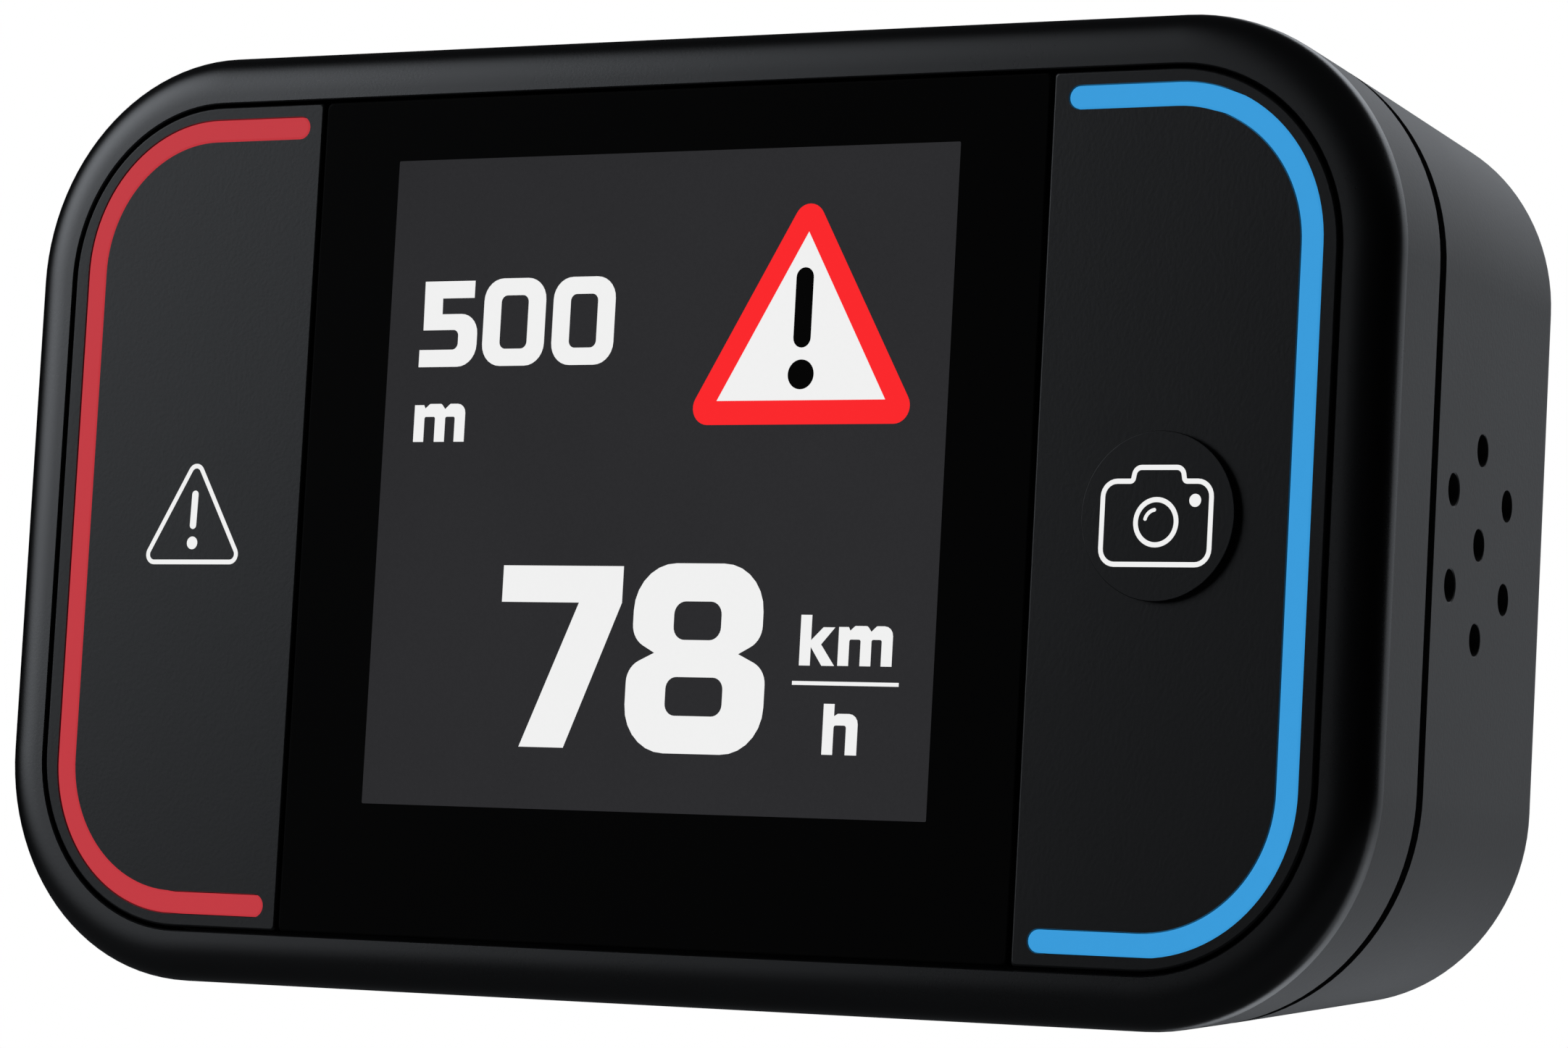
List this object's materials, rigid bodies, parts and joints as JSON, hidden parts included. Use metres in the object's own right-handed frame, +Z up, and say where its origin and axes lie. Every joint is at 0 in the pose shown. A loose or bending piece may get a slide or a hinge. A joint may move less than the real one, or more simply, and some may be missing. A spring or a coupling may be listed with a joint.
{
  "type": "radar detector",
  "caption": "Dash-mounted traffic alarm with a square display behind black glass, a sprung push panel with a curved light on each side, and a side speaker.",
  "frame": {"origin": "centre of the rear pad's outer face, where the device sticks to its mount", "axes": "+Z up, -Y out of the display towards the driver, +Y out of the rear pad, +X to the driver's right"},
  "size_m": [0.0666, 0.0205, 0.0406],
  "materials": {
    "shell_plastic": "satin black, finely grained",
    "rear_plastic": "matte dark grey, finely grained",
    "button_plastic": "satin dark grey, finely grained",
    "black_glass": "polished, black behind",
    "red_diffuser": "milky red, lit from behind",
    "blue_diffuser": "milky blue, lit from behind",
    "black_rubber": "matte",
    "frame_plastic": "as moulded",
    "board_laminate": "green solder mask",
    "display_metal": "folded sheet",
    "flex_film": "amber film",
    "chip_resin": "moulded resin",
    "shield_metal": "tinned sheet",
    "antenna_ceramic": "fired ceramic, sandy",
    "battery_foil": "laminated pouch foil",
    "foam": "closed-cell foam",
    "speaker_metal": "pressed steel",
    "mesh_fabric": "black acoustic cloth",
    "socket_steel": "plated shell",
    "screw_steel": "black-plated",
    "magnet_nickel": "nickel-plated",
    "led_body": "yellow phosphor",
    "switch_plastic": "as moulded",
    "plunger_plastic": "as moulded"
  },
  "bodies": {
    "housing": {"front_bezel": "shell_plastic", "rear_shell": "rear_plastic", "seam_gasket": "black_rubber", "display_glass": "black_glass", "display_module": "display_metal", "display_flex": "flex_film", "inner_frame": "frame_plastic", "main_board": "board_laminate", "processor": "chip_resin", "radio_module": "shield_metal", "satellite_antenna": "antenna_ceramic", "battery": "battery_foil", "battery_pad": "foam", "speaker": "speaker_metal", "speaker_gasket": "foam", "speaker_mesh": "mesh_fabric", "usb_socket": "socket_steel", "usb_tongue": "chip_resin", "left_switch": "switch_plastic", "right_switch": "switch_plastic", "left_led_top": "led_body", "left_led_bottom": "led_body", "right_led_top": "led_body", "right_led_bottom": "led_body", "screw_top_left": "screw_steel", "screw_top_right": "screw_steel", "screw_bottom_left": "screw_steel", "screw_bottom_right": "screw_steel", "mount_magnet": "magnet_nickel", "rear_pad": "black_rubber"},
    "left_button": {"left_button": "button_plastic", "left_light_guide": "red_diffuser", "left_switch_plunger": "plunger_plastic"},
    "right_button": {"right_button": "button_plastic", "right_light_guide": "blue_diffuser", "right_switch_plunger": "plunger_plastic"}
  },
  "joints": [
    {"name": "left_button_press", "type": "slide", "parent": "housing", "child": "left_button", "axis": [0, 1, 0], "range_m": [0, 0.0004], "stiffness_N_per_m": 1500},
    {"name": "right_button_press", "type": "slide", "parent": "housing", "child": "right_button", "axis": [0, 1, 0], "range_m": [0, 0.0004], "stiffness_N_per_m": 1500}
  ]
}
